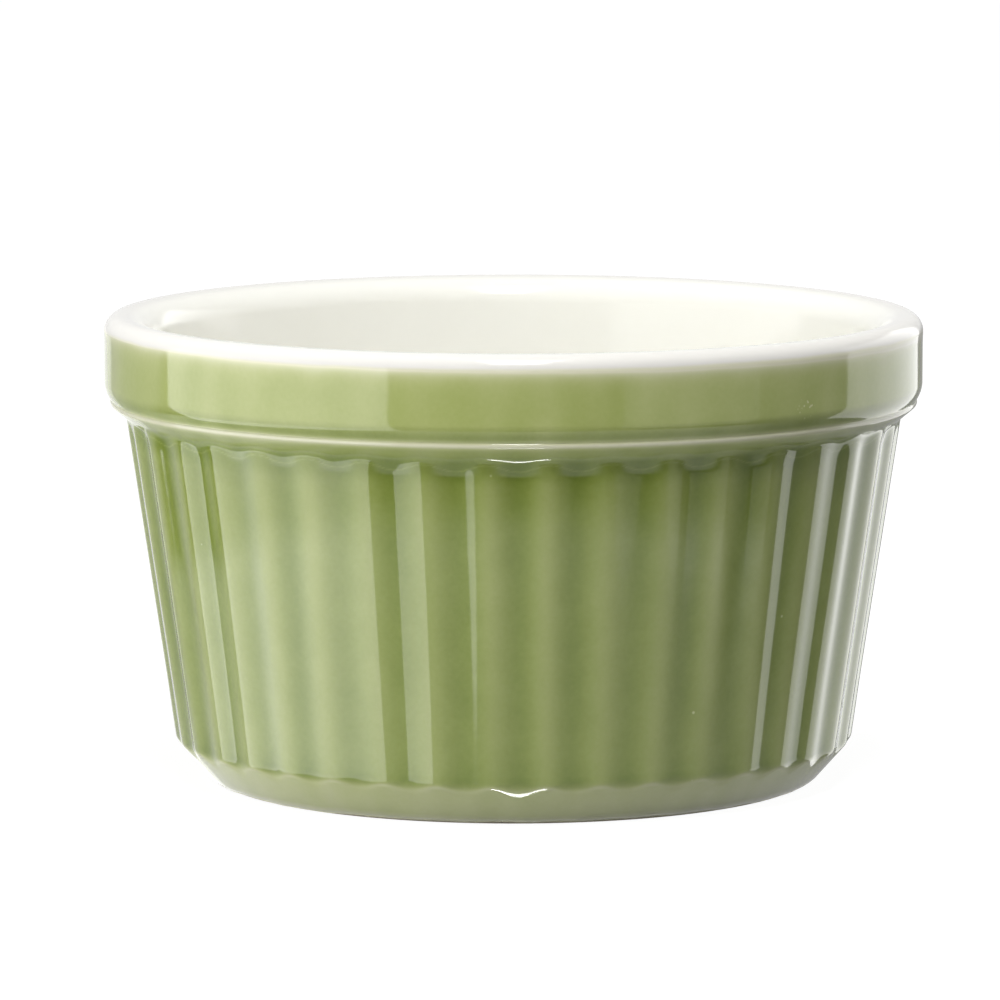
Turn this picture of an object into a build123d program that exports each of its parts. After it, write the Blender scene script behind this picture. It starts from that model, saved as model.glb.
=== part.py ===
"""Fluted ramekin: a small round baking dish of fired stoneware.

The pieces are the ones that the kiln fuses together: the clay body, the
coloured glaze round the outside, the white glaze over the lip and down the
inside, and the coloured glaze in the recess under the floor. The ring that the
dish stands on is wiped clean before firing, so the coloured glazes never meet.

Frame: +Z up, origin on the axis at the plane that the foot stands on, front
towards -Y. Millimetres.
"""

import os
from math import atan2, cos, hypot, radians, sin, tan

from build123d import *

# Finished size, over the glaze
rim_diameter = 90.0
height = 51.4

# Glaze
glaze = 0.3
colour_line_drop = 1.6  # lip top down to the line where white meets colour
wipe_height = 0.4  # bare clay above the standing plane, where the foot is wiped

# Wall and flutes
flute_count = 40
first_ridge_angle = -84.75  # one ridge stands a little to the right of the front
corner_radius = 37.38  # over the ridges, where the wall meets the bevel
corner_height = 4.75
wall = 3.6  # clay, from a ridge to the cavity, measured level at the floor
flute_depth_low = 0.58  # ridge to hollow in the clay, at the bevel
flute_depth_high = 0.70  # the same under the collar
glaze_pooling = 0.25  # how much shallower the glaze leaves each hollow

# Foot
bevel_angle = 41.5  # from the vertical
bevel_round = 1.5
bevel_lead_angle = 13.0  # the bevel's rounding runs out past the wall at this angle
foot_edge_round = 1.0
foot_ring_width = 3.2
recess_depth = 1.0
recess_flank = 0.9  # how far the recess's side slopes in
floor = 4.3
base_glaze_inset = 0.8  # bare clay inside the recess, round its glaze

# Collar and lip
collar_overhang = 2.43  # collar's face out from the ridges, at the foot of its cove
rim_breadth = 4.3  # clay, across the lip
collar_height = 7.8  # lip top down to where the rounding starts
collar_round_drop = 1.7  # height of the rounding under the collar's face
collar_round_inset = 0.95  # how far that rounding brings the crease in
cove_drop = 2.4  # height of the hollow moulding between the crease and the wall
cove_inset = 1.58  # how far the cove brings it in
run_out_angle = 24.5  # from the vertical, where the cove runs into the flutes
run_out_sink = 0.95  # how far inside the ridges that run ends, past the deepest hollow
lip_outer_round = 1.5
lip_inner_round = 3.1
lip_land = 0.05  # level clay left at least between the lip's two rounds

# Cavity
floor_corner_round = 7.0

# Construction
overrun = 1.0  # how far a cutting shape passes the surface that it cuts

# Worked out from the sizes above
clay_top = height - glaze
collar_radius = rim_diameter / 2 - glaze
pitch = 360 / flute_count
flute_low = -overrun
face_low = height - collar_height
crease_height = face_low - collar_round_drop
crease_radius = collar_radius - collar_round_inset
cove_height = crease_height - cove_drop
cove_radius = crease_radius - cove_inset
top_ridge_radius = collar_radius - collar_overhang
corner_ridge_radius = corner_radius - glaze
flare = (top_ridge_radius - corner_ridge_radius) / (cove_height - corner_height)
floor_top = recess_depth + floor
mouth_radius = collar_radius - rim_breadth
colour_line = height - colour_line_drop
foot_radius = corner_radius - corner_height * tan(radians(bevel_angle))
ring_inner_radius = foot_radius - foot_ring_width
recess_radius = ring_inner_radius - recess_flank
patch_radius = recess_radius - base_glaze_inset
lip_crown = collar_radius - lip_outer_round


def ridge_radius(z):
    """Radius of the clay over the ridges at height z."""
    return corner_ridge_radius + (z - corner_height) * flare


def on_circle(radius, angle):
    """Point at that radius and angle, in degrees from +X."""
    return (radius * cos(radians(angle)), radius * sin(radians(angle)))


def nearest(sketch, across, up):
    """Corner of a sketch that lies nearest a point given in the sketch's own plane."""
    return sketch.vertices().sort_by_distance((across, up))[0]


def flute_outline(ridge, depth):
    """Face bounded by one convex and one hollow arc for each flute, tangent to each other."""
    middle = ridge - depth / 2
    with BuildSketch() as outline:
        with BuildLine():
            for step in range(flute_count):
                crest = first_ridge_angle + step * pitch
                ThreePointArc(
                    on_circle(middle, crest - pitch / 4),
                    on_circle(ridge, crest),
                    on_circle(middle, crest + pitch / 4),
                )
                ThreePointArc(
                    on_circle(middle, crest + pitch / 4),
                    on_circle(ridge - depth, crest + pitch / 2),
                    on_circle(middle, crest + 3 * pitch / 4),
                )
        make_face()
    return outline.sketch


def foot_section(skin):
    """Half section that trims the fluted cone to the bevel and the foot, skin thicker than the clay."""
    lead = tan(radians(bevel_lead_angle))
    corner = (ridge_radius(corner_height), corner_height)
    with BuildSketch(Plane.XZ) as section:
        with BuildLine():
            Polyline(
                (-overrun, 0),
                (foot_radius - glaze, 0),
                corner,
                (corner[0] + (clay_top - corner_height) * lead, clay_top),
                (-overrun, clay_top),
                close=True,
            )
        make_face()
        fillet(nearest(section, foot_radius - glaze, 0), foot_edge_round)
        fillet(nearest(section, *corner), bevel_round)
        if skin > 0:
            offset(amount=skin)
        with Locations((clay_top, 0)):
            Rectangle(2 * clay_top, 4 * clay_top, mode=Mode.INTERSECT)
    return section.sketch


def collar_section(skin):
    """Half section of the collar, from the cove's run into the flutes up to the lip."""
    inward, down = sin(radians(run_out_angle)), cos(radians(run_out_angle))
    run = (run_out_sink + cove_radius - top_ridge_radius) / (inward - flare * down)
    root = (cove_radius - run * inward, cove_height - run * down)
    with BuildSketch(Plane.XZ) as section:
        with BuildLine():
            Polyline((-overrun, root[1]), root, (cove_radius, cove_height))
            TangentArc(
                (cove_radius, cove_height),
                (crease_radius, crease_height),
                tangent=(inward, down),
            )
            TangentArc(
                (collar_radius, face_low),
                (crease_radius, crease_height),
                tangent=(0, -1),
            )
            Line((collar_radius, face_low), (collar_radius, clay_top - lip_outer_round))
            RadiusArc(
                (collar_radius, clay_top - lip_outer_round),
                (collar_radius - lip_outer_round, clay_top),
                -lip_outer_round,
            )
            Polyline(
                (collar_radius - lip_outer_round, clay_top),
                (-overrun, clay_top),
                (-overrun, root[1]),
            )
        make_face()
        if skin > 0:
            offset(amount=skin)
        with Locations((clay_top, 0)):
            Rectangle(2 * clay_top, 4 * clay_top, mode=Mode.INTERSECT)
    return section.sketch


def outside_form(skin, pooling):
    """Solid shape of the outside: fluted cone, trimmed by the bevel, under the plain collar."""
    side_skin = skin * hypot(1, flare)
    with BuildPart() as form:
        with BuildSketch(Plane.XY.offset(flute_low)):
            add(flute_outline(ridge_radius(flute_low) + side_skin, flute_depth_low - pooling))
        with BuildSketch(Plane.XY.offset(face_low)):
            add(flute_outline(ridge_radius(face_low) + side_skin, flute_depth_high - pooling))
        loft(ruled=True)
        with BuildSketch(Plane.XZ):
            add(foot_section(skin))
        revolve(axis=Axis.Z, mode=Mode.INTERSECT)
        with BuildSketch(Plane.XZ):
            add(collar_section(skin))
        revolve(axis=Axis.Z)
    return form.part


def dish_section(skin):
    """Half section of the lip, the cavity's wall and its floor, filled down to the foot plane."""
    floor_radius = ridge_radius(floor_top) - wall
    lean = atan2(mouth_radius - floor_radius, clay_top - floor_top)
    reach = rim_breadth - lip_outer_round - lip_land
    inner_round = min(lip_inner_round, reach / tan((radians(90) - lean) / 2))
    with BuildSketch(Plane.XZ) as section:
        with BuildLine():
            Polyline(
                (-overrun, 0),
                (collar_radius, 0),
                (collar_radius, clay_top),
                (mouth_radius, clay_top),
                (floor_radius, floor_top),
                (-overrun, floor_top),
                close=True,
            )
        make_face()
        fillet(nearest(section, collar_radius, clay_top), lip_outer_round)
        fillet(nearest(section, mouth_radius, clay_top), inner_round)
        fillet(nearest(section, floor_radius, floor_top), floor_corner_round)
        if skin > 0:
            offset(amount=skin)
        with Locations((clay_top, 0)):
            Rectangle(2 * clay_top, 4 * clay_top, mode=Mode.INTERSECT)
    return section.sketch


def section_box(inner, outer, low, high):
    """Rectangle of a half section, between two radii and two heights."""
    with BuildSketch(Plane.XZ) as box:
        with Locations(((inner + outer) / 2, (low + high) / 2)):
            Rectangle(outer - inner, high - low)
    return box.sketch


clay_outside = outside_form(0, 0)

# Clay body
with BuildPart() as stoneware_body:
    add(clay_outside)
    with BuildSketch(Plane.XZ):
        add(section_box(0, lip_crown, floor_top / 2, height))
        add(dish_section(0), mode=Mode.SUBTRACT)
    revolve(axis=Axis.Z, mode=Mode.SUBTRACT)
    with BuildSketch(Plane.XZ):
        with BuildLine():
            Polyline(
                (0, -overrun),
                (ring_inner_radius + overrun * recess_flank / recess_depth, -overrun),
                (recess_radius, recess_depth),
                (0, recess_depth),
                close=True,
            )
        make_face()
    revolve(axis=Axis.Z, mode=Mode.SUBTRACT)
stoneware_body.part.label = "stoneware_body"

# Coloured glaze round the outside
with BuildPart() as green_outer_glaze:
    add(outside_form(glaze, glaze_pooling))
    add(clay_outside, mode=Mode.SUBTRACT)
    with BuildSketch(Plane.XZ):
        add(section_box(0, rim_diameter, wipe_height, colour_line))
    revolve(axis=Axis.Z, mode=Mode.INTERSECT)
green_outer_glaze.part.label = "green_outer_glaze"

# White glaze over the lip and down the inside
with BuildPart() as white_inner_glaze:
    with BuildSketch(Plane.XZ):
        add(section_box(0, lip_crown, floor_top / 2, height + overrun))
        add(section_box(lip_crown, rim_diameter, colour_line, height + overrun))
        add(dish_section(glaze), mode=Mode.INTERSECT)
        add(dish_section(0), mode=Mode.SUBTRACT)
    revolve(axis=Axis.Z)
white_inner_glaze.part.label = "white_inner_glaze"

# Coloured glaze in the recess under the floor
with BuildPart() as green_base_glaze:
    with BuildSketch(Plane.XZ):
        add(section_box(0, patch_radius, recess_depth - glaze, recess_depth))
    revolve(axis=Axis.Z)
green_base_glaze.part.label = "green_base_glaze"

os.makedirs("parts", exist_ok=True)
export_step(stoneware_body.part, "parts/stoneware_body.step")
export_step(green_outer_glaze.part, "parts/green_outer_glaze.step")
export_step(white_inner_glaze.part, "parts/white_inner_glaze.step")
export_step(green_base_glaze.part, "parts/green_base_glaze.step")
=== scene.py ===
"""Fluted ramekin in glazed stoneware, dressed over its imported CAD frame.

Sizes are in millimetres, as in the part's source, and every mesh is turned into
metres as it is made. Heights are above the plane that the foot stands on. An
angle goes round the dish from its front, positive towards the right-hand side
of the picture.
"""

import logging
import math
from dataclasses import dataclass, field
from enum import Enum

import bpy
import numpy as np
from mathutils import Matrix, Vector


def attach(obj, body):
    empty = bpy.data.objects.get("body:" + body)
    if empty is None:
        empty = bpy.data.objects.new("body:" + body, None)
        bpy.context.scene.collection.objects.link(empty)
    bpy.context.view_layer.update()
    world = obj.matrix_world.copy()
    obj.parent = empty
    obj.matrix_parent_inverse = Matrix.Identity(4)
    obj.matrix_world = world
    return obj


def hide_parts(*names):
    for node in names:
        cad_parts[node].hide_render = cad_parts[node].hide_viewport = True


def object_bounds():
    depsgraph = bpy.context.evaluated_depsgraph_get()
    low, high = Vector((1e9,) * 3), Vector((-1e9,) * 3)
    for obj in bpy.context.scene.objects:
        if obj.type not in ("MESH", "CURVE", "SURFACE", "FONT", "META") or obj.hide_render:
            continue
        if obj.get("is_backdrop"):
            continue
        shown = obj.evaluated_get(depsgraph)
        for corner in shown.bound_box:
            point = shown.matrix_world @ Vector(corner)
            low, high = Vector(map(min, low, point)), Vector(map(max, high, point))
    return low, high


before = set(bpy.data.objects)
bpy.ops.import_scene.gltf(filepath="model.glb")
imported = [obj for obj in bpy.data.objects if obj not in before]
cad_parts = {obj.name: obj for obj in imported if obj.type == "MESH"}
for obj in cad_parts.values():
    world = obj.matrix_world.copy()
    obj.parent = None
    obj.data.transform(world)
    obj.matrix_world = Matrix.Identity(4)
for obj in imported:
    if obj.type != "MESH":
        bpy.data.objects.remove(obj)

LOG = logging.getLogger("ramekin")
MM = 0.001
Array = np.ndarray
Socket = bpy.types.NodeSocket
Pair = tuple[float, float]
Triple = tuple[float, float, float]
Colour = Triple
Corners = list[Pair]
FLOAT, COLOUR, VECTOR = "NodeSocketFloat", "NodeSocketColor", "NodeSocketVector"


# Mesh work


class Ends(Enum):
    """How the rows of a grid end."""

    RING = "the last row joins the first"
    POLES = "the first and last rows shrink to a point on the axis"


def round_the_dish(columns: int) -> Array:
    """Angles of a grid's columns, evenly spaced over one turn, in radians.

    Args:
        columns: How many columns the grid has.

    Returns:
        The angles, the last of them one step short of the first.
    """
    return np.arange(columns) * (2 * math.pi / columns)


def at_angle(radius: Array, height: Array, angle: Array) -> Array:
    """Points of a grid: across is radius times sine of the angle, back minus radius times cosine.

    Args:
        radius: Radius of each point, rows by columns.
        height: Height of each point, rows by columns.
        angle: Angle of each column.

    Returns:
        Rows by columns by three, in millimetres.
    """
    return np.stack([radius * np.sin(angle), -radius * np.cos(angle), height + 0 * radius], axis=-1)


def grid_faces(rows: int, columns: int, ends: Ends) -> tuple[Array, Array]:
    """Four-sided faces between neighbouring rows and columns, and triangles at the poles.

    Args:
        rows: Rows of the grid, without its poles.
        columns: Columns of the grid, the last of them joined to the first.
        ends: Whether the rows close on themselves or on two poles.

    Returns:
        The quads and the triangles, as vertex numbers.
    """
    row = np.arange(rows if ends is Ends.RING else rows - 1)[:, None]
    col = np.arange(columns)[None, :]
    above, beside = (row + 1) % rows, (col + 1) % columns
    here, there = row * columns, above * columns
    corners = (here + col, here + beside, there + beside, there + col)
    quads = np.stack([c + 0 * (row + col) for c in corners], axis=-1).reshape(-1, 4)
    if ends is Ends.RING:
        return quads, np.zeros((0, 3), int)
    ring, after = col[0], beside[0]
    first, last = rows * columns, rows * columns + 1
    low = np.stack([first + 0 * ring, after, ring], axis=-1)
    top = (rows - 1) * columns
    high = np.stack([last + 0 * ring, top + ring, top + after], axis=-1)
    return quads, np.concatenate([low, high])


def signed_volume(points: Array, triangles: Array) -> float:
    """Volume inside a closed mesh, negative where its faces point inwards."""
    a, b, c = (points[triangles[:, k]] for k in range(3))
    return float(np.einsum("ij,ij->i", a, np.cross(b, c)).sum() / 6)


def grid_object(name: str, points: Array, ends: Ends, marks: dict[str, Array]) -> bpy.types.Object:
    """Object made of one closed grid, its faces pointing out, with values kept on its vertices.

    Args:
        name: Name of the object and its mesh.
        points: Rows by columns by three, in millimetres. With poles, the first and last
            rows are the poles and all their points are one and the same.
        ends: Whether the rows close on themselves or on two poles.
        marks: Values by name, rows by columns each, that the materials read.

    Returns:
        The object, linked to the scene, at the origin.
    """
    body = slice(None) if ends is Ends.RING else slice(1, -1)
    rows, columns = points[body].shape[:2]
    flat = points[body].reshape(-1, 3)
    values = {key: mark[body].reshape(-1) for key, mark in marks.items()}
    if ends is Ends.POLES:
        flat = np.concatenate([flat, points[:1, 0], points[-1:, 0]])
        poles = {key: [mark[0, 0], mark[-1, 0]] for key, mark in marks.items()}
        values = {key: np.append(values[key], poles[key]) for key in marks}
    quads, fans = grid_faces(rows, columns, ends)
    halves = np.concatenate([quads[:, [0, 1, 2]], quads[:, [0, 2, 3]], fans])
    if signed_volume(flat, halves) < 0:
        quads, fans = quads[:, ::-1], fans[:, ::-1]
    mesh = bpy.data.meshes.new(name)
    mesh.from_pydata((flat * MM).tolist(), [], quads.tolist() + fans.tolist())
    mesh.shade_smooth()
    for key, value in values.items():
        kept = mesh.attributes.new(key, "FLOAT", "POINT")
        kept.data.foreach_set("value", value.astype(np.float32))
    piece = bpy.data.objects.new(name, mesh)
    bpy.context.scene.collection.objects.link(piece)
    return piece


def rounded_path(corners: Corners, rounds: list[float], steps: list[int]) -> Array:
    """Half section with its corners rounded, each by an arc tangent to both its sides.

    Args:
        corners: Radius and height of each corner, the two ends among them.
        rounds: Radius of the arc at each inner corner.
        steps: Points along each arc.

    Returns:
        Points of the path, one pair of radius and height each.
    """
    path = [np.array([corners[0]])]
    for before, here, after, radius, count in zip(corners, corners[1:], corners[2:], rounds, steps):
        corner = np.array(here)
        back, ahead = (np.array(before) - corner), (np.array(after) - corner)
        back, ahead = back / np.hypot(*back), ahead / np.hypot(*ahead)
        half = math.acos(float(back @ ahead)) / 2
        centre = corner + (back + ahead) / np.hypot(*(back + ahead)) * radius / math.sin(half)
        start = corner + back * radius / math.tan(half) - centre
        finish = corner + ahead * radius / math.tan(half) - centre
        turn = math.pi - 2 * half
        share = np.linspace(0, 1, count)[:, None]
        arc = (start * np.sin((1 - share) * turn) + finish * np.sin(share * turn)) / math.sin(turn)
        path.append(centre + arc)
    path.append(np.array([corners[-1]]))
    return np.concatenate(path)


def spaced(path: Array, gap: float) -> Array:
    """Path with points added where its own lie too far apart.

    Args:
        path: Points of the path, one pair of radius and height each.
        gap: Largest distance left between two neighbours.

    Returns:
        The path with its own points and the new ones between them.
    """
    length = np.append(0, np.cumsum(np.hypot(*np.diff(path, axis=0).T)))
    pairs = zip(length, length[1:])
    extra = [np.linspace(a, b, max(1, math.ceil((b - a) / gap)), endpoint=False) for a, b in pairs]
    along = np.append(np.concatenate(extra), length[-1])
    return np.stack([np.interp(along, length, path[:, k]) for k in (0, 1)], axis=-1)


def softly(low: Array, high: Array, span: float | Array) -> Array:
    """Smaller of two surfaces, with a rounded corner where they come nearer than the span.

    Each takes off a quarter of the span at the crossing, falling with the square of their
    difference to nothing at its ends.

    Args:
        low: One surface.
        high: The other.
        span: Difference at which the rounding starts.

    Returns:
        The rounded smaller one.
    """
    near = np.maximum(span - np.abs(low - high), 0)
    return np.minimum(low, high) - near**2 / (4 * span)


def step_up(value: Array, start: float, end: float) -> Array:
    """Smooth step: nought up to start, one from end on, 3 t squared less 2 t cubed between."""
    t = np.clip((value - start) / (end - start), 0, 1)
    return t * t * (3 - 2 * t)


def bump(value: Array, centre: float | Array, width: float) -> Array:
    """Bell curve of height one: e to minus the square of the distance over the width."""
    return np.exp(-(((value - centre) / width) ** 2))


@dataclass(frozen=True)
class HandWork:
    """Slow unevenness that pressing, glazing and firing leave in a surface."""

    seed: int
    waves: int = 7
    turns: tuple[int, int] = (2, 15)
    rise: float = 0.09

    def over(self, angle: Array, height: Array) -> Array:
        """Sum of a few sine waves that go a whole number of times round the dish.

        Args:
            angle: Angles in radians.
            height: Heights in millimetres.

        Returns:
            The sum, mostly between minus one and one.
        """
        rng = np.random.default_rng(self.seed)
        turns = rng.integers(*self.turns, self.waves)
        climb = rng.uniform(-self.rise, self.rise, self.waves)
        phase = rng.uniform(0, 2 * math.pi, self.waves)
        waves = (np.sin(t * angle + c * height + p) for t, c, p in zip(turns, climb, phase))
        return sum(waves) / math.sqrt(self.waves)


# Sizes that several pieces share


@dataclass(frozen=True)
class DishForm:
    """Outside shape of the dish, over the glaze, as the part's source gives it."""

    rim_radius: float = 45.0
    height: float = 51.4
    glaze: float = 0.3
    colour_line: float = 49.8
    wipe_height: float = 0.4
    foot_radius: float = 33.28
    bevel_slope: float = 0.8847
    corner_radius: float = 37.38
    corner_height: float = 4.75
    flare: float = 0.1494
    flute_count: int = 40
    first_ridge: float = 5.25
    flute_low: float = -1.0
    flute_depth_low: float = 0.30
    flute_depth_high: float = 0.44
    pooling: float = 0.25
    lip_outer_round: float = 1.8
    lip_inner_round: float = 3.4
    face_low: float = 43.6
    collar_turn: float = 44.1
    crease: Pair = (44.37, 42.2)
    bead: Pair = (44.05, 41.85)
    bead_round: float = 0.38
    under_slope: float = 1.18
    run_out: Pair = (38.2, 40.6)
    run_out_fade: float = 0.5
    bevel_corner: Pair = (0.25, 0.55)
    under_corner: float = 0.34
    edge_step: float = 0.02
    pitch_sway: float = 0.16
    depth_sway: float = 0.08
    drift: HandWork = field(default_factory=lambda: HandWork(11))
    swell: HandWork = field(default_factory=lambda: HandWork(23, rise=0.05))

    def swing(self, angle: Array, height: Array) -> Array:
        """Place across a flute: nought on a ridge, one in a hollow, an uneven cosine between."""
        turn = self.flute_count * (angle - math.radians(self.first_ridge))
        return (1 - np.cos(turn + self.pitch_sway * self.drift.over(angle, height))) / 2

    def ridge(self, height: Array) -> Array:
        """Radius over the ridges: a cone that widens by the flare for each millimetre of height."""
        return self.corner_radius + (height - self.corner_height) * self.flare

    def depth(self, angle: Array, height: Array) -> Array:
        """Depth of a hollow below its ridges, straight from low to high, a little uneven.

        Args:
            angle: Angles in radians.
            height: Heights in millimetres.

        Returns:
            The depth in millimetres.
        """
        share = (height - self.flute_low) / (self.face_low - self.flute_low)
        level = self.flute_depth_low + (self.flute_depth_high - self.flute_depth_low) * share
        return level * (1 + self.depth_sway * self.swell.over(angle, height))

    def bevel(self, height: Array) -> Array:
        """Radius of the bevel: a cone from the foot outwards, by the bevel's slope."""
        return self.foot_radius + height * self.bevel_slope

    def lip_end(self, apart: float) -> Array:
        """Point of the lip's outer rounding near the colour line.

        Args:
            apart: How far below the line it lies.

        Returns:
            A path of one point, radius and height.
        """
        up = self.colour_line - apart
        share = max(up - self.height + self.lip_outer_round, 0) / self.lip_outer_round
        inward = self.lip_outer_round * (1 - math.sqrt(1 - share**2))
        return np.array([[self.rim_radius - inward, up]])

    def under_end(self) -> Pair:
        """Point of the bead where the collar's underside is tangent to it.

        Returns:
            Its radius and height.
        """
        turn = math.atan(self.under_slope)
        out, up = self.bead
        return out + self.bead_round * math.cos(turn), up - self.bead_round * math.sin(turn)

    def wall(self, angle: Array, height: Array) -> Array:
        """Radius of the outside up to the bead under the collar.

        The fluted cone is the ridge's radius less the depth times the swing, and the depth
        fades by half under the collar. The bevel cuts it off below, with a rounder corner in
        the hollows, and the collar's slanting underside meets it above in a hollow corner.

        Args:
            angle: Angles in radians.
            height: Heights in millimetres.

        Returns:
            Radius over the glaze.
        """
        swing = self.swing(angle, height)
        left = 1 - self.run_out_fade * step_up(height, *self.run_out)
        fluted = self.ridge(height) - self.depth(angle, height) * swing * left
        sharp, blunt = self.bevel_corner
        cut = softly(fluted, self.bevel(height), sharp + blunt * swing)
        out, up = self.under_end()
        return -softly(-cut, (up - height) * self.under_slope - out, self.under_corner)


# Finishes


class Group(Enum):
    """Names of the effects that are kept as node groups."""

    ABSORPTION = "Glaze Absorption"
    MOTTLE = "Glaze Mottle"
    SPECKS = "Fine Specks"
    RIPPLE = "Surface Ripple"


class NodeBench:
    """Puts nodes into one node tree and joins them."""

    def __init__(self, tree: bpy.types.NodeTree) -> None:
        """Keeps the tree, and counts the nodes to lay them out in columns."""
        self.tree = tree
        self.placed = 0

    def node(self, kind: str, inputs: dict | None = None, **settings: object) -> bpy.types.Node:
        """Adds a node, sets its properties, and fills or links its inputs.

        Args:
            kind: Type name of the node.
            inputs: Value or output socket for each input, by its name or number.
            settings: Properties of the node itself.

        Returns:
            The node.
        """
        made = self.tree.nodes.new(kind)
        made.location = (self.placed % 8 * 220, -(self.placed // 8) * 320)
        self.placed += 1
        for key, value in settings.items():
            setattr(made, key, value)
        for key, value in (inputs or {}).items():
            if isinstance(value, Socket):
                self.tree.links.new(value, made.inputs[key])
            else:
                made.inputs[key].default_value = value
        return made

    def math(self, operation: str, *values: object) -> Socket:
        """Output of a Math node for that operation on one to three values or sockets."""
        return self.node("ShaderNodeMath", dict(enumerate(values)), operation=operation).outputs[0]

    def span(
        self, value: object, low: float, high: float, to_low: float, to_high: float
    ) -> Socket:
        """Output of a smooth Map Range node.

        Args:
            value: Value or socket to map.
            low: Where its span starts.
            high: Where its span ends.
            to_low: What comes out up to the start.
            to_high: What comes out from the end on.

        Returns:
            The mapped value.
        """
        ends = {"Value": value, "From Min": low, "From Max": high}
        ends |= {"To Min": to_low, "To Max": to_high}
        made = self.node("ShaderNodeMapRange", ends, interpolation_type="SMOOTHSTEP")
        return made.outputs["Result"]

    def mix(self, share: object, first: object, second: object) -> Socket:
        """Output of a colour Mix node that goes from the first colour to the second."""
        ends = {0: share, 6: first, 7: second}
        return self.node("ShaderNodeMix", ends, data_type="RGBA").outputs[2]

    def blend(self, share: object, first: object, second: object) -> Socket:
        """Output of a Mix Shader node that goes from the first shader to the second."""
        return self.node("ShaderNodeMixShader", {0: share, 1: first, 2: second}).outputs[0]

    def add(self, first: object, second: object) -> Socket:
        """Output of an Add Shader node."""
        return self.node("ShaderNodeAddShader", {0: first, 1: second}).outputs[0]

    def noise(self, place: object, scale: object, detail: float) -> Socket:
        """Output of a Noise Texture node, nought to one."""
        inputs = {"Vector": place, "Scale": scale, "Detail": detail}
        return self.node("ShaderNodeTexNoise", inputs).outputs["Fac"]

    def relief(self, height: object, strength: float, depth: float) -> Socket:
        """Normal of a Bump node that follows the height."""
        inputs = {"Height": height, "Strength": strength, "Distance": depth}
        return self.node("ShaderNodeBump", inputs).outputs["Normal"]

    def mark(self, name: str) -> Socket:
        """Value that a mesh keeps on its vertices under that name."""
        made = self.node("ShaderNodeAttribute", attribute_name=name, attribute_type="GEOMETRY")
        return made.outputs["Fac"]

    def group(self, name: Group, inputs: dict) -> bpy.types.Node:
        """Places one of the shared effects, with its own values."""
        return self.node("ShaderNodeGroup", inputs, node_tree=bpy.data.node_groups[name.value])

    def dots(self, place: object, scale: float, size: float, share: float) -> Socket:
        """Mask of the shared specks effect."""
        inputs = {"Vector": place, "Scale": scale, "Size": size, "Share": share}
        return self.group(Group.SPECKS, inputs).outputs["Mask"]


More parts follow.
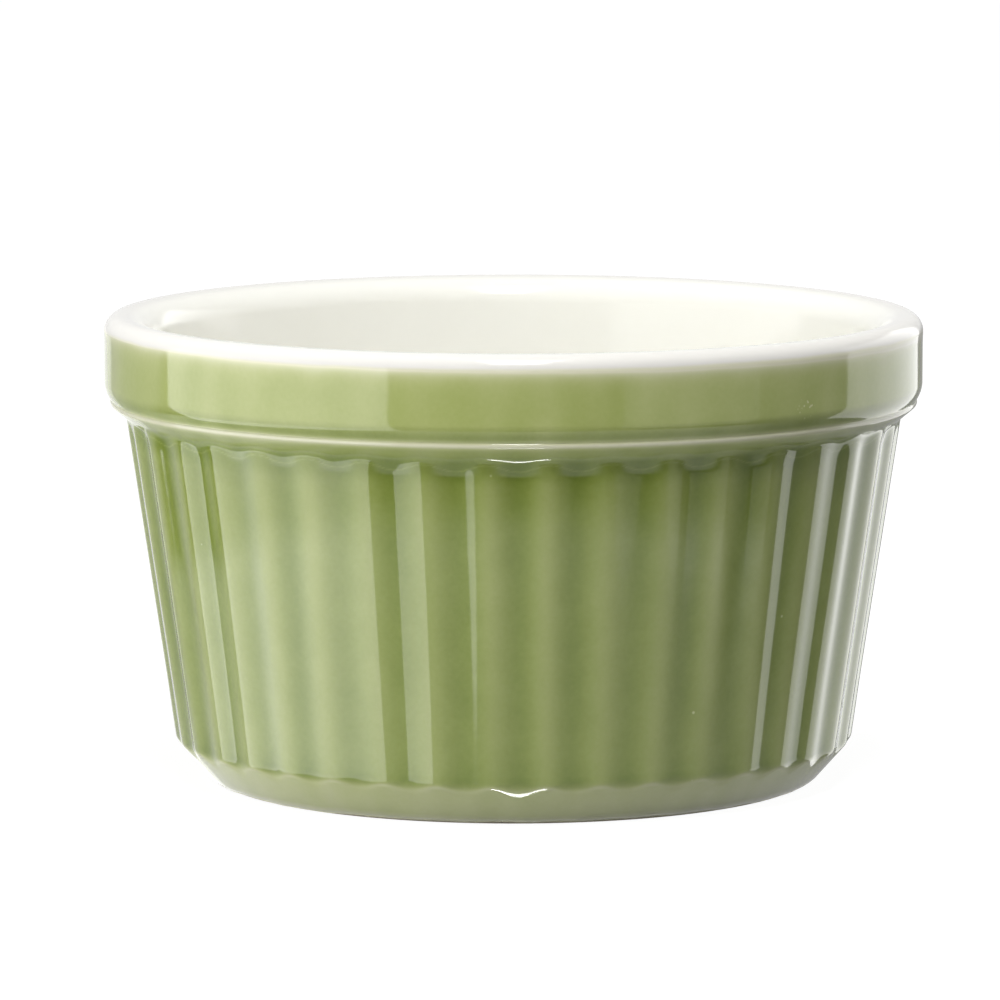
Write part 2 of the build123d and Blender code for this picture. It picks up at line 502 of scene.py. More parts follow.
class SharedEffects:
    """Builds the node groups that the finishes place, each once."""

    def build(self) -> None:
        """Makes all the groups."""
        self.absorption()
        self.mottle()
        self.specks()
        self.ripple()

    def tree(
        self, name: Group, inputs: dict[str, str], outputs: dict[str, str]
    ) -> tuple[NodeBench, dict, bpy.types.Node]:
        """Starts a group with named sockets.

        Args:
            name: Name of the group.
            inputs: Type of each input socket, by name.
            outputs: Type of each output socket, by name.

        Returns:
            A bench on the group's tree, its inputs as sockets by name, and its output node.
        """
        tree = bpy.data.node_groups.new(name.value, "ShaderNodeTree")
        for key, kind in inputs.items():
            tree.interface.new_socket(key, in_out="INPUT", socket_type=kind)
        for key, kind in outputs.items():
            tree.interface.new_socket(key, in_out="OUTPUT", socket_type=kind)
        bench = NodeBench(tree)
        given = bench.node("NodeGroupInput")
        result = bench.node("NodeGroupOutput")
        return bench, {key: given.outputs[key] for key in inputs}, result

    def absorption(self) -> None:
        """Coloured glass on a pale ground: ground times tint to the power of the thickness."""
        kinds = {"Thickness": FLOAT, "Ground": COLOUR, "Tint": COLOUR}
        bench, given, result = self.tree(Group.ABSORPTION, kinds, {"Color": COLOUR})
        tint = bench.node("ShaderNodeSeparateColor", {"Color": given["Tint"]})
        ground = bench.node("ShaderNodeSeparateColor", {"Color": given["Ground"]})
        mixed = {}
        for channel in ("Red", "Green", "Blue"):
            passed = bench.math("POWER", tint.outputs[channel], given["Thickness"])
            mixed[channel] = bench.math("MULTIPLY", ground.outputs[channel], passed)
        colour = bench.node("ShaderNodeCombineColor", mixed)
        bench.tree.links.new(colour.outputs["Color"], result.inputs["Color"])

    def mottle(self) -> None:
        """Uneven coat: one, give or take the amount, from soft patches and a finer curdle."""
        kinds = {"Vector": VECTOR, "Amount": FLOAT, "Scale": FLOAT}
        bench, given, result = self.tree(Group.MOTTLE, kinds, {"Factor": FLOAT})
        patches = bench.noise(given["Vector"], given["Scale"], detail=3.0)
        finer = bench.math("MULTIPLY", given["Scale"], 7.0)
        curdle = bench.noise(given["Vector"], finer, detail=2.0)
        both = bench.math("MULTIPLY_ADD", curdle, 0.6, patches)
        even = bench.math("MULTIPLY_ADD", both, 2.5, -2.0)
        factor = bench.math("MULTIPLY_ADD", even, given["Amount"], 1.0)
        bench.tree.links.new(factor, result.inputs["Factor"])

    def specks(self) -> None:
        """Round dots scattered in space: a share of the cells holds one, as wide as the size."""
        kinds = {"Vector": VECTOR, "Scale": FLOAT, "Size": FLOAT, "Share": FLOAT}
        bench, given, result = self.tree(Group.SPECKS, kinds, {"Mask": FLOAT})
        where = {"Vector": given["Vector"], "Scale": given["Scale"]}
        cells = bench.node("ShaderNodeTexVoronoi", where)
        chosen = bench.node("ShaderNodeSeparateColor", {"Color": cells.outputs["Color"]})
        kept = bench.math("LESS_THAN", chosen.outputs["Red"], given["Share"])
        away = bench.math("DIVIDE", cells.outputs["Distance"], given["Size"])
        dot = bench.span(away, 0.4, 1.0, 1.0, 0.0)
        mask = bench.math("MULTIPLY", dot, kept)
        bench.tree.links.new(mask, result.inputs["Mask"])

    def ripple(self) -> None:
        """Height of a fired glaze's slight orange-peel: broad swells and a tenth of finer ones."""
        kinds = {"Vector": VECTOR, "Scale": FLOAT}
        bench, given, result = self.tree(Group.RIPPLE, kinds, {"Height": FLOAT})
        broad = bench.noise(given["Vector"], given["Scale"], detail=1.0)
        finer = bench.math("MULTIPLY", given["Scale"], 4.5)
        fine = bench.noise(given["Vector"], finer, detail=0.0)
        height = bench.math("MULTIPLY_ADD", fine, 0.1, broad)
        bench.tree.links.new(height, result.inputs["Height"])


def fresh_material(name: str) -> tuple[bpy.types.Material, NodeBench, Socket]:
    """Starts a material.

    Args:
        name: Name of the material.

    Returns:
        The empty material, a bench on its tree, and the object's own coordinates in it.
    """
    material = bpy.data.materials.new(name)
    material.use_nodes = True
    material.node_tree.nodes.clear()
    bench = NodeBench(material.node_tree)
    coordinates = bench.node("ShaderNodeTexCoord")
    return material, bench, coordinates.outputs["Object"]


def give_surface(bench: NodeBench, surface: Socket) -> None:
    """Joins a shader to the material's output."""
    bench.node("ShaderNodeOutputMaterial", {"Surface": surface})


@dataclass(frozen=True)
class GreenGlaze:
    """Olive glaze, clear enough that it is pale where thin and deep where it has pooled; its
    thickness also carries painted shade on the collar's lower edge and painted reflection on the
    bevel.
    """

    ground: Colour = (0.88, 0.86, 0.68)
    tint: Colour = (0.434, 0.517, 0.198)
    roughness: float = 0.07
    mottle: float = 0.09
    draw: float = 0.75
    blemish: Triple = (0.0309, -0.0327, 0.0446)
    crowd: Pair = (0.0008, 0.0015)
    line_bare: float = 0.95
    pinhole_bare: float = 0.6
    pinhole_depth: float = 0.4

    def material(self) -> bpy.types.Material:
        """Colour from the coat's thickness, which is drawn thin along the line under the lip.

        The thickness falls off towards the line as one minus e to the power of minus the
        distance over the draw. A few pinholes crowd round the blemish.

        Returns:
            The material.
        """
        material, bench, place = fresh_material("Green glaze")
        uneven = bench.group(Group.MOTTLE, {"Vector": place, "Amount": self.mottle, "Scale": 260.0})
        pinholes = bench.dots(place, scale=420.0, size=0.10, share=0.018)
        crowd = bench.dots(place, scale=2100.0, size=0.36, share=0.9)
        ends = {0: place, 1: self.blemish}
        apart = bench.node("ShaderNodeVectorMath", ends, operation="DISTANCE").outputs["Value"]
        crowd = bench.math("MULTIPLY", crowd, bench.span(apart, *self.crowd, 1.0, 0.0))
        holes = bench.math("MAXIMUM", pinholes, crowd)
        waver = bench.noise(place, scale=130.0, detail=2.0)
        below = bench.math("MULTIPLY_ADD", waver, 0.3, bench.mark("below_line"))
        below = bench.math("MAXIMUM", bench.math("SUBTRACT", below, 0.15), 0.0)
        drawn = bench.math("EXPONENT", bench.math("MULTIPLY", below, -1 / self.draw))
        coat = bench.math("MULTIPLY", bench.mark("coat"), uneven.outputs["Factor"])
        left = bench.math("MULTIPLY_ADD", drawn, -self.line_bare, 1.0)
        coat = bench.math("MULTIPLY", coat, left)
        left = bench.math("MULTIPLY_ADD", holes, -self.pinhole_bare, 1.0)
        coat = bench.math("MULTIPLY", coat, left)
        ground, tint = (*self.ground, 1.0), (*self.tint, 1.0)
        green = bench.group(Group.ABSORPTION, {"Thickness": coat, "Ground": ground, "Tint": tint})
        ripple = bench.group(Group.RIPPLE, {"Vector": place, "Scale": 210.0})
        dented = bench.math("MULTIPLY_ADD", holes, -self.pinhole_depth, ripple.outputs["Height"])
        relief = bench.relief(dented, strength=0.25, depth=0.00006)
        sockets = {"Base Color": green.outputs["Color"], "Normal": relief}
        sockets |= {"Roughness": self.roughness, "IOR": 1.5}
        shader = bench.node("ShaderNodeBsdfPrincipled", sockets)
        give_surface(bench, shader.outputs["BSDF"])
        return material


@dataclass(frozen=True)
class WhiteGlaze:
    """Warm white glaze, opaque, with the green bleeding a little into its lower edge."""

    colour: Colour = (0.93, 0.925, 0.865)
    hollow: Colour = (0.87, 0.855, 0.76)
    bleed: Colour = (0.812, 0.799, 0.609)
    # thin: the lip's colour, partly thinner glaze and partly painted shade that dims the
    # upward-facing lip
    thin: Colour = (0.83, 0.815, 0.77)
    roughness: float = 0.12
    specular: float = 0.25

    def material(self) -> bpy.types.Material:
        """White, faintly clouded, with scattered specks, a little greyer over the lip, and a bled
        edge. The greyer lip is partly thinner glaze and partly painted shade, keeping the
        upward-facing lip as dim as the inside.

        Returns:
            The material.
        """
        material, bench, place = fresh_material("White glaze")
        uneven = bench.group(Group.MOTTLE, {"Vector": place, "Amount": 0.5, "Scale": 90.0})
        clouded = bench.span(uneven.outputs["Factor"], 0.6, 1.5, 0.0, 0.12)
        base = bench.mix(clouded, (*self.colour, 1.0), (*self.hollow, 1.0))
        specks = bench.dots(place, scale=170.0, size=0.05, share=0.03)
        seen = bench.math("MULTIPLY", specks, 0.35)
        base = bench.mix(seen, base, (*self.hollow, 1.0))
        waver = bench.noise(place, scale=130.0, detail=2.0)
        below = bench.math("MULTIPLY_ADD", waver, 0.3, bench.mark("below_line"))
        # Greyer colour over the lip: partly thinner glaze, partly painted shade that keeps the lit
        # lip top from outshining the inside.
        lip_thin_and_shaded = bench.span(bench.mark("below_line"), -4.5, -2.5, 0.0, 1.0)
        base = bench.mix(lip_thin_and_shaded, base, (*self.thin, 1.0))
        bled = bench.span(below, -0.2, 0.2, 0.0, 1.0)
        base = bench.mix(bled, base, (*self.bleed, 1.0))
        ripple = bench.group(Group.RIPPLE, {"Vector": place, "Scale": 150.0})
        relief = bench.relief(ripple.outputs["Height"], strength=0.25, depth=0.00006)
        sockets = {"Base Color": base, "Normal": relief}
        sockets |= {"Roughness": self.roughness, "IOR": 1.5, "Specular IOR Level": self.specular}
        shader = bench.node("ShaderNodeBsdfPrincipled", sockets)
        give_surface(bench, shader.outputs["BSDF"])
        return material


@dataclass(frozen=True)
class BareClay:
    """Fired stoneware without glaze: warm, matt, fine-grained, with a few iron specks."""

    colour: Colour = (0.74, 0.67, 0.55)
    dark: Colour = (0.60, 0.52, 0.41)
    iron: Colour = (0.16, 0.10, 0.06)
    roughness: float = 0.75

    def material(self) -> bpy.types.Material:
        """Clay colour with grain and iron specks.

        Returns:
            The material.
        """
        material, bench, place = fresh_material("Bare stoneware")
        uneven = bench.group(Group.MOTTLE, {"Vector": place, "Amount": 0.5, "Scale": 320.0})
        shade = bench.span(uneven.outputs["Factor"], 0.6, 1.4, 0.0, 0.6)
        base = bench.mix(shade, (*self.colour, 1.0), (*self.dark, 1.0))
        specks = bench.dots(place, scale=520.0, size=0.22, share=0.04)
        base = bench.mix(specks, base, (*self.iron, 1.0))
        grain = bench.noise(place, scale=2600.0, detail=3.0)
        relief = bench.relief(grain, strength=0.6, depth=0.00012)
        sockets = {"Base Color": base, "Normal": relief, "Roughness": self.roughness}
        shader = bench.node("ShaderNodeBsdfPrincipled", sockets)
        give_surface(bench, shader.outputs["BSDF"])
        return material


# Pieces


@dataclass(frozen=True)
class CoatShares:
    """Thickness of the green glaze: what lies on or adds to each place, and shares taken off."""

    ridge: float = 1.02
    hollow: float = 0.46
    run_in: float = 0.30
    corner: float = 0.25
    collar: float = 0.86
    # Extra coat on the collar's lower rounding: partly pooled glaze, partly painted shade.
    collar_edge_and_shade: float = 0.42
    # Coat taken off the bevel: partly thinner glaze near the foot, partly painted reflection of the
    # bright table.
    off_bevel_and_reflection: float = 0.42
    off_bead: float = 0.93
    off_scallop: float = 0.65
    off_line: float = 0.22
    off_hem: float = 0.75
    uneven: float = 0.06


@dataclass
class OuterGlaze:
    """Green glaze round the outside, from the wiped foot to the line under the lip."""

    form: DishForm
    finish: bpy.types.Material
    columns: int = 800
    hem: float = 0.4
    row_stops: tuple[float, ...] = (3.0, 5.6, 36.6)
    row_counts: tuple[int, ...] = (5, 7, 21, 16, 33)
    face_rows: tuple[float, ...] = (44.8, 46.0, 47.4, 48.4, 49.2, 49.6)
    bead_rise: float = 43.0
    wipe_share: float = 0.7
    wipe_sway: float = 0.08
    dip: Pair = (0.2, 0.33)
    shares: CoatShares = CoatShares()
    wipe: HandWork = field(default_factory=lambda: HandWork(37, waves=9, turns=(3, 40)))
    flow: HandWork = field(default_factory=lambda: HandWork(41, waves=9, turns=(5, 60), rise=0.25))

    def heights(self, top: float) -> Array:
        """Heights of the wall's rows from the wiped edge up, closer where the shape turns."""
        stops = (0.0, self.hem, *self.row_stops, top)
        runs = zip(stops, stops[1:], self.row_counts)
        return np.concatenate([[0.0], *(np.linspace(a, b, n)[1:] for a, b, n in runs)])

    def collar(self) -> Array:
        """Half section from the slanting underside to the colour line.

        A fine bead ends the underside, an arc leads up from it to the plain face, and the
        lip's own rounding starts just under the colour line.

        Returns:
            Points of the path, radius and height, from the bottom up.
        """
        form = self.form
        out, up = form.crease
        turn = np.linspace(-math.atan(form.under_slope), math.radians(self.bead_rise), 12)
        around = np.stack([np.cos(turn), np.sin(turn)], axis=-1)
        bead = np.array(form.bead) + form.bead_round * around
        rise, span = form.collar_turn - up, form.rim_radius - out
        radius = (span**2 + rise**2) / (2 * span)
        sweep = np.linspace(math.asin(rise / radius), 0, 15)
        inward, down = radius * (1 - np.cos(sweep)), radius * np.sin(sweep)
        arc = np.stack([form.rim_radius - inward, form.collar_turn - down], axis=-1)
        face = np.array([[form.rim_radius, z] for z in self.face_rows])
        return np.concatenate([bead, arc, face, form.lip_end(form.edge_step), form.lip_end(0.0)])

    def coat(self, angle: Array, height: Array) -> Array:
        """Thickness of the glaze for its colour: thin over edges, thick where it could pool.

        About one on the wall's ridges, half as much again in the hollows, less on the collar but
        for its lower edge, where the extra coat is partly pooled glaze and partly painted shade of
        the rounding that turns away from the light; thinner on the bevel, partly a thinner glaze
        near the foot and partly painted reflection of the bright table; and next to nothing on the
        bead, the scalloped corner and the wiped edge.

        Args:
            angle: Angle of each point.
            height: Height of each point.

        Returns:
            Thickness, one being about that on a ridge.
        """
        form, share = self.form, self.shares
        swing = form.swing(angle, height)
        flutes = step_up(height, 4.3, 5.2) * (1 - step_up(height, 39.6, 40.5))
        run_in = share.run_in * step_up(height, 37.0, 39.2) * (1 - step_up(height, 40.0, 40.9))
        wall = share.ridge + share.hollow * swing * flutes + run_in
        wall = wall + share.corner * bump(height, 5.3, 0.7) * (0.3 + 0.7 * swing)
        on_collar = step_up(height, 41.9, 42.6)
        # The collar's lower rounding gets a thicker, darker coat: partly pooled glaze, partly
        # painted shade where it turns down from the light.
        collar = share.collar + share.collar_edge_and_shade * (1 - step_up(height, 42.4, 44.0))
        coat = wall * (1 - on_collar) + collar * on_collar
        # The bevel gets a thinner, lighter coat: partly thinner glaze near the foot, partly painted
        # reflection of the bright table under it.
        coat = coat * (1 - share.off_bevel_and_reflection * (1 - step_up(height, 3.9, 4.6)))
        coat = coat * (1 - share.off_bead * bump(height, form.bead[1], 0.46))
        scallop = share.off_scallop * bump(height, 4.5 - 0.45 * swing, 0.32)
        coat = coat * (1 - scallop * (1 - 0.8 * swing))
        coat = coat * (1 - share.off_line * bump(height, 39.6 - 0.75 * swing, 0.08))
        coat = coat * (1 - share.off_hem + share.off_hem * step_up(height, 0.3, 1.1))
        return coat * (1 + share.uneven * self.flow.over(angle, height))

    def build(self) -> bpy.types.Object:
        """Makes the shell: up over the outside, and back down along the clay.

        The line that the coat is drawn thin along dips towards the right-hand side.

        Returns:
            The finished piece.
        """
        form = self.form
        angle = round_the_dish(self.columns)
        low = form.wipe_height * self.wipe_share + self.wipe_sway * self.wipe.over(angle, 0.0)
        section = self.collar()
        share = self.heights(section[0, 1] - 0.06)[:, None]
        height = low + share * (share[-1] - low) / share[-1]
        radius = form.wall(angle, height)
        band = section[:, 1:] + 0 * angle
        outside = np.concatenate([radius, section[:, :1] + 0 * angle])
        upward = np.concatenate([height, band])
        wave = 0.018 * (form.swell.over(angle, upward) - 1.6) * step_up(upward, 6, 12)
        outside = outside + wave * (1 - step_up(upward, 48.5, 49.6))
        pooled = form.pooling * form.swing(angle, upward) * (1 - step_up(upward, 36, 41))
        edge = np.clip((upward - low) / self.hem, 0, 1)
        hem = np.sqrt(1 - (1 - edge) ** 2)
        clay = outside - (form.glaze + pooled) * hem - 0.3 * (1 - step_up(upward, 2.5, 5)) * 0.33
        outside = np.where(edge < 1, clay + np.maximum(outside - clay, 0) * hem, outside)
        back = np.append(np.arange(len(upward) - 1, 3, -3), [1, 0])
        face, under = at_angle(outside, upward, angle), at_angle(clay[back], upward[back], angle)
        coat = self.coat(angle + 0 * upward, upward)
        below = form.colour_line - upward - self.dip[0] - self.dip[1] * np.sin(angle)
        marks = {"coat": coat, "below_line": below}
        marks = {key: np.concatenate([mark, mark[back]]) for key, mark in marks.items()}
        piece = grid_object("outer_glaze", np.concatenate([face, under]), Ends.RING, marks)
        piece.data.materials.append(self.finish)
        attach(piece, "root")
        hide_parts("green_outer_glaze")
        return piece


@dataclass
class InnerGlaze:
    """White glaze over the lip, down the inside and across the floor."""

    form: DishForm
    finish: bpy.types.Material
    columns: int = 400
    floor_top: float = 5.6
    floor_radius: float = 33.30
    mouth_radius: float = 40.14
    floor_round: float = 6.7
    sway: HandWork = field(default_factory=lambda: HandWork(53, turns=(2, 9)))

    def section(self, skin: float) -> Array:
        """Half section from the middle of the floor over the lip to the colour line.

        Args:
            skin: How far under the glaze's face the section lies.

        Returns:
            Points of the path, radius and height.
        """
        form = self.form
        rim, top = form.rim_radius - skin, form.height - skin
        side = skin * math.hypot(1, form.flare)
        corners = [
            (0.0, self.floor_top - skin),
            (self.floor_radius + side - skin * form.flare, self.floor_top - skin),
            (self.mouth_radius + side - skin * form.flare, top),
            (rim, top),
            (rim, 30.0),
        ]
        rounds = [self.floor_round + skin, form.lip_inner_round - skin, form.lip_outer_round - skin]
        path = rounded_path(corners, rounds, [25, 25, 25])
        path = spaced(path[:-1], 2.2)
        clear = path[:, 1] > form.colour_line + 2 * form.edge_step
        path = path[clear | (path[:, 0] < form.rim_radius - 4)]
        ends = [form.lip_end(apart) - [skin, 0] for apart in (-form.edge_step, 0.0)]
        return np.concatenate([path, *ends])

    def build(self) -> bpy.types.Object:
        """Makes the shell: out and over along its face, and back along the clay.

        Returns:
            The finished piece.
        """
        form = self.form
        angle = round_the_dish(self.columns)
        face, under = self.section(0.0), self.section(form.glaze)[::-1]
        section = np.concatenate([face, under])
        radius, height = section[:, :1] + 0 * angle, section[:, 1:] + 0 * angle
        inside = step_up(radius, 6.0, 18.0) * (1 - step_up(height, 47.5, 50.2))
        radius = radius + 0.035 * self.sway.over(angle, height) * inside
        points = at_angle(radius, height, angle)
        outer = step_up(radius, form.rim_radius - 4.4, form.rim_radius - 1.6)
        below = (form.colour_line - height) * outer - 5 * (1 - outer)
        piece = grid_object("inner_glaze", points, Ends.POLES, {"below_line": below})
        piece.data.materials.append(self.finish)
        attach(piece, "root")
        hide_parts("white_inner_glaze")
        return piece


@dataclass
class ClayBody:
    """Fired clay under the glazes, bare on the ring that the dish stands on."""

    form: DishForm
    finish: bpy.types.Material
    columns: int = 400
    foot_radius: float = 32.88
    foot_round: float = 1.0
    ring_inner: float = 29.98
    recess_radius: float = 29.08
    recess_depth: float = 1.0
    floor_top: float = 5.3
    floor_radius: float = 33.56
    mouth_radius: float = 40.40
    floor_round: float = 7.0
    hidden_from: float = 41.4

    def build(self) -> bpy.types.Object:
        """Makes the body: across the floor, over the lip, down the outside, under the foot.

        Returns:
            The finished piece.
        """
        form = self.form
        angle = round_the_dish(self.columns)
        rim, top = form.rim_radius - form.glaze, form.height - form.glaze
        corners = [(0.0, self.floor_top), (self.floor_radius, self.floor_top)]
        corners += [(self.mouth_radius, top), (rim, top), (rim, 44.0)]
        rounds = [self.floor_round, form.lip_inner_round - form.glaze, 1.5]
        inner = spaced(rounded_path(corners, rounds, [12, 12, 12]), 5.0)
        stretches = ((43.6, 37.0, 18), (36.0, 6.0, 9), (5.4, 2.2, 14))
        heights = np.concatenate([np.linspace(*stretch) for stretch in stretches])
        outer_height = heights[:, None] + 0 * angle
        wall = form.wall(angle, outer_height)
        rows, radii = [self.hidden_from, 41.9, 42.6, 44.1], [43.6, 43.95, 44.3, rim]
        under = np.interp(outer_height, rows, radii)
        swing = form.swing(angle, outer_height)
        skin = form.glaze + form.pooling * swing + 0.1 * (1 - step_up(outer_height, 2.5, 5.0))
        outer = np.where(outer_height > self.hidden_from, under, wall - skin)
        lift = 2.0
        corners = [(self.foot_radius + lift * form.bevel_slope, lift), (self.foot_radius, 0.0)]
        corners += [(self.ring_inner, 0.0), (self.recess_radius, self.recess_depth)]
        corners += [(0.0, self.recess_depth)]
        foot = spaced(rounded_path(corners, [self.foot_round, 0.25, 0.35], [9, 5, 5]), 1.2)
        radius = np.concatenate([inner[:, :1] + 0 * angle, outer, foot[:, :1] + 0 * angle])
        height = np.concatenate([inner[:, 1:] + 0 * angle, outer_height, foot[:, 1:] + 0 * angle])
        points = at_angle(radius, height, angle)
        piece = grid_object("clay_body", points, Ends.POLES, {})
        piece.data.materials.append(self.finish)
        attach(piece, "root")
        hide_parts("stoneware_body")
        return piece


@dataclass
class BaseGlaze:
    """Green glaze in the recess under the floor."""

    finish: bpy.types.Material
    columns: int = 240
    radius: float = 28.28
    low: float = 0.7
    high: float = 1.0
    ring_pitch: float = 2.6
    edge_round: float = 0.5
    edge: HandWork = field(default_factory=lambda: HandWork(67, waves=9, turns=(3, 30)))

    def build(self) -> bpy.types.Object:
        """Makes the disc: a face with the faint rings of the turned clay, and a rounded edge.

        The face's height is the lower one plus a small cosine of the radius over the pitch.

        Returns:
            The finished piece.
        """
        angle = round_the_dish(self.columns)
        flat = self.radius - self.edge_round
        turned = self.radius - self.edge_round * (1 - np.sin(np.linspace(0.2, 1.57, 7)))
        out = np.concatenate([np.linspace(0, flat, 60), turned])
        fall = step_up(out, flat, self.radius)
        face = self.low + 0.018 * (1 - np.cos(out * 2 * math.pi / self.ring_pitch)) * (1 - fall)
        face = face + (self.high - self.low) * (1 - np.sqrt(1 - fall**2))
        back = np.linspace(self.radius - 0.02, 0, 6)
        radius = np.concatenate([out, back])[:, None] + 0 * angle
        height = np.concatenate([face, 0 * back + self.high])[:, None] + 0 * angle
        sway = 0.35 * (1 + self.edge.over(angle, 0.0)) * step_up(radius, 20.0, self.radius) * 0.5
        radius = radius - sway
        coat = 1.15 - 0.12 * np.cos(radius * 2 * math.pi / self.ring_pitch)
        coat = coat * (1 - 0.75 * step_up(radius, self.radius - 1.6, self.radius - 0.3))
        marks = {"coat": coat, "below_line": 30.0 + 0 * coat}
        piece = grid_object("base_glaze", at_angle(radius, height, angle), Ends.POLES, marks)
        piece.data.materials.append(self.finish)
        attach(piece, "root")
        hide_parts("green_base_glaze")
        return piece


# Studio


@dataclass(frozen=True)
class Panel:
    """Flat lamp, aimed at the dish, that the camera doesn't see."""

    name: str
    place: Triple
    target: Triple
    width: float
    height: float
    level: float
    mirrored: bool = True

    def build(self) -> bpy.types.Object:
        """Makes the lamp, its power being level times pi times area.

        Returns:
            The lamp's object.
        """
        lamp = bpy.data.lights.new(self.name, "AREA")
        lamp.shape = "RECTANGLE"
        lamp.size, lamp.size_y = self.width, self.height
        lamp.energy = self.level * math.pi * self.width * self.height
        holder = bpy.data.objects.new(self.name, lamp)
        aim = Vector(self.target) - Vector(self.place)
        holder.location = self.place
        holder.rotation_euler = aim.to_track_quat("-Z", "Y").to_euler()
        holder.visible_camera, holder.visible_glossy = False, self.mirrored
        bpy.context.scene.collection.objects.link(holder)
        return holder


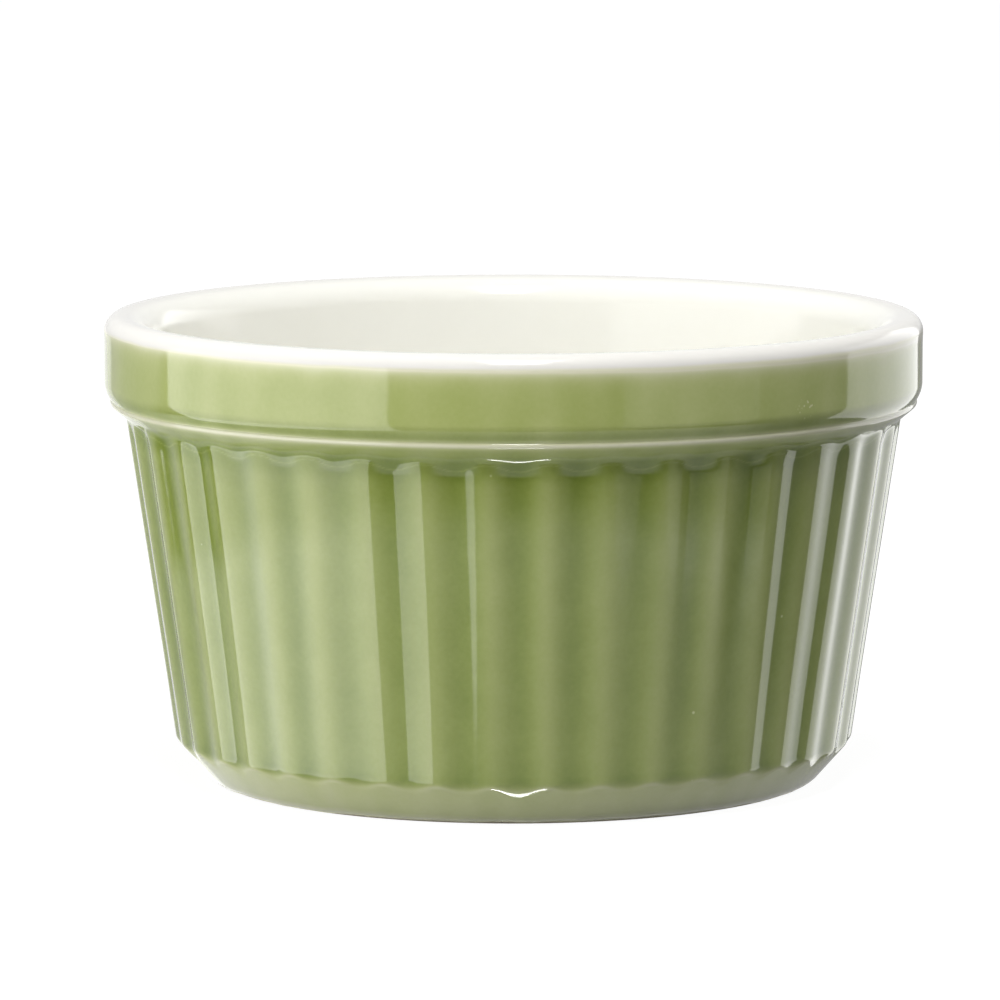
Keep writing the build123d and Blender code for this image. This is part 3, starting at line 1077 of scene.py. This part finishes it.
@dataclass
class Studio:
    """White table and surroundings, soft lamps, and the camera."""

    world_level: float = 0.03
    mirror_level: float = 0.05
    above: float = 0.85
    behind: float = 0.90
    behind_level: float = 0.55
    disc_radius: float = 0.118
    disc_glow: float = 1.1
    disc_rim: float = 0.1
    back_glow: Pair = (0.55, 0.38)
    table_matt: Pair = (0.78, 0.17)
    floor_size: float = 3.0
    panels: tuple[Panel, ...] = (
        Panel("overhead", (0.0185, -0.416, 0.84), (0.0185, -0.416, 0.0), 0.174, 0.528, 25.5),
        Panel("sky", (0.0, 0.0, 0.9), (0.0, 0.0, 0.0), 0.5, 0.5, 2.3, mirrored=False),
        Panel("left", (-0.618, -0.201, -0.07), (0.0, 0.0, -0.07), 1.016, 0.74, 2.75),
        Panel("right", (0.536, 0.450, 0.0), (0.0, 0.0, 0.0), 0.68, 0.70, 1.7),
        Panel("front", (0.536, -0.450, 0.0), (0.0, 0.0, 0.0), 0.51, 0.50, 0.55),
        Panel("below", (0.0124, -0.139, -0.5), (0.0124, -0.139, 0.0), 0.102, 0.0925, 22.0),
    )

    def world(self) -> None:
        """White to the camera, dim to matt surfaces; gloss finds white behind and above only."""
        world = bpy.data.worlds.new("studio")
        world.use_nodes = True
        world.node_tree.nodes.clear()
        bench = NodeBench(world.node_tree)
        path = bench.node("ShaderNodeLightPath")
        ray = {0: bench.node("ShaderNodeNewGeometry").outputs["Incoming"]}
        toward = bench.node("ShaderNodeVectorMath", ray, operation="NORMALIZE")
        back = bench.node("ShaderNodeSeparateXYZ", {0: toward.outputs[0]})
        away = bench.math("MULTIPLY", back.outputs["Y"], -1.0)
        white = bench.span(away, self.behind, self.behind + 0.02, 0.0, self.behind_level)
        white = bench.math("MULTIPLY", white, bench.math("GREATER_THAN", back.outputs["X"], -0.02))
        high = bench.span(back.outputs["Z"], 0.0, 0.06, 1.0, 0.0)
        aloft = bench.math("MULTIPLY", high, bench.span(away, -0.4, 0.0, 0.0, self.above))
        mirrored = bench.math("MAXIMUM", bench.math("MAXIMUM", white, aloft), self.mirror_level)
        shown = bench.math("MAXIMUM", path.outputs["Is Camera Ray"], mirrored)
        sees = bench.math("MAXIMUM", path.outputs["Is Camera Ray"], path.outputs["Is Glossy Ray"])
        sees = bench.math("MAXIMUM", sees, path.outputs["Is Transmission Ray"])
        seen = bench.math("MULTIPLY", sees, shown)
        rest = bench.math("MULTIPLY", bench.math("SUBTRACT", 1.0, sees), self.world_level)
        strength = bench.math("ADD", seen, rest)
        light = bench.node("ShaderNodeBackground", {"Color": (1.0,) * 4, "Strength": strength})
        bench.node("ShaderNodeOutputWorld", {"Surface": light.outputs[0]})
        bpy.context.scene.world = world

    def floor_material(self) -> bpy.types.Material:
        """White table: bright to the camera but for the dish's shadow, white in gloss near it only.

        Returns:
            The material.
        """
        material, bench, place = fresh_material("White table")
        path = bench.node("ShaderNodeLightPath")
        side = bench.node("ShaderNodeNewGeometry")
        away = bench.node("ShaderNodeVectorMath", {0: place}, operation="LENGTH").outputs["Value"]
        glow, reach = self.disc_glow, self.disc_radius
        level = bench.span(away, reach - 0.033, reach - 0.013, glow, glow + self.disc_rim)
        within = bench.span(away, reach - 0.010, reach + 0.010, 1.0, 0.0)
        level = bench.math("MULTIPLY", level, within)
        across = bench.node("ShaderNodeSeparateXYZ", {0: place}).outputs
        slant = bench.math("MULTIPLY_ADD", across["X"], 0.4, across["Y"])
        level = bench.math("MULTIPLY", level, bench.span(slant, -0.035, 0.015, 1.0, 0.0))
        dim = bench.span(across["X"], -0.05, 0.05, *self.back_glow)
        level = bench.math("MULTIPLY_ADD", bench.span(slant, -0.035, 0.015, 0.0, 1.0), dim, level)
        pale = bench.span(across["X"], -0.12, 0.10, *self.table_matt)
        grey = bench.node("ShaderNodeCombineColor", {0: pale, 1: pale, 2: pale}).outputs[0]
        matt = bench.node("ShaderNodeBsdfDiffuse", {"Color": grey}).outputs[0]
        soft = bench.node("ShaderNodeBsdfDiffuse", {"Color": (0.12, 0.12, 0.12, 1.0)}).outputs[0]
        lit = bench.span(away, 0.045, 0.15, 0.965, 1.0)
        shown = bench.add(soft, bench.node("ShaderNodeEmission", {"Strength": lit}).outputs[0])
        clear = bench.node("ShaderNodeBsdfTransparent").outputs[0]
        gloss = bench.add(clear, bench.node("ShaderNodeEmission", {"Strength": level}).outputs[0])
        camera, glossy = path.outputs["Is Camera Ray"], path.outputs["Is Glossy Ray"]
        sees = bench.math("MAXIMUM", camera, path.outputs["Is Transmission Ray"])
        plain = bench.blend(glossy, bench.blend(sees, matt, shown), gloss)
        hidden = bench.math("MULTIPLY", side.outputs["Backfacing"], camera)
        give_surface(bench, bench.blend(hidden, plain, clear))
        return material

    def floor(self) -> bpy.types.Object:
        """Makes the flat table top at height nought.

        Returns:
            The table.
        """
        half = self.floor_size / 2
        mesh = bpy.data.meshes.new("table")
        corners = [(-half, -half, 0), (half, -half, 0), (half, half, 0), (-half, half, 0)]
        mesh.from_pydata(corners, [], [(0, 1, 2, 3)])
        mesh.materials.append(self.floor_material())
        table = bpy.data.objects.new("table", mesh)
        bpy.context.scene.collection.objects.link(table)
        table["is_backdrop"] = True
        return table

    def camera(self) -> bpy.types.Object:
        """Puts the camera at the photograph's height, distance and angle.

        Returns:
            The camera's object.
        """
        tilt, far, look = 0.133, 0.8, 0.0257
        lens = bpy.data.cameras.new("camera")
        lens.sensor_width = 36.0
        lens.lens = 260.8
        lens.shift_x, lens.shift_y = -0.0135, 0.0438
        lens.clip_start, lens.clip_end = 0.05, 20.0
        holder = bpy.data.objects.new("camera", lens)
        holder.location = (0.0, -far * math.cos(tilt), look + far * math.sin(tilt))
        holder.rotation_euler = (math.pi / 2 - tilt, 0.0, 0.0)
        bpy.context.scene.collection.objects.link(holder)
        bpy.context.scene.camera = holder
        return holder

    def build(self) -> None:
        """Sets up the whole studio."""
        self.world()
        self.floor()
        for panel in self.panels:
            panel.build()
        self.camera()
        bpy.context.scene.view_settings.view_transform = "Standard"


def main() -> None:
    """Builds the dish piece by piece, then the studio round it."""
    logging.basicConfig(level=logging.INFO, format="%(name)s: %(message)s")
    cad_box = tuple(corner.copy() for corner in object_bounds())
    SharedEffects().build()
    green, white, clay = GreenGlaze().material(), WhiteGlaze().material(), BareClay().material()
    form = DishForm()
    pieces = [ClayBody(form, clay), OuterGlaze(form, green), InnerGlaze(form, white)]
    for maker in [*pieces, BaseGlaze(green)]:
        piece = maker.build()
        LOG.info("%s: %d faces, %s", piece.name, len(piece.data.polygons), type(maker).__name__)
    Studio().build()


if __name__ == "__main__":
    main()
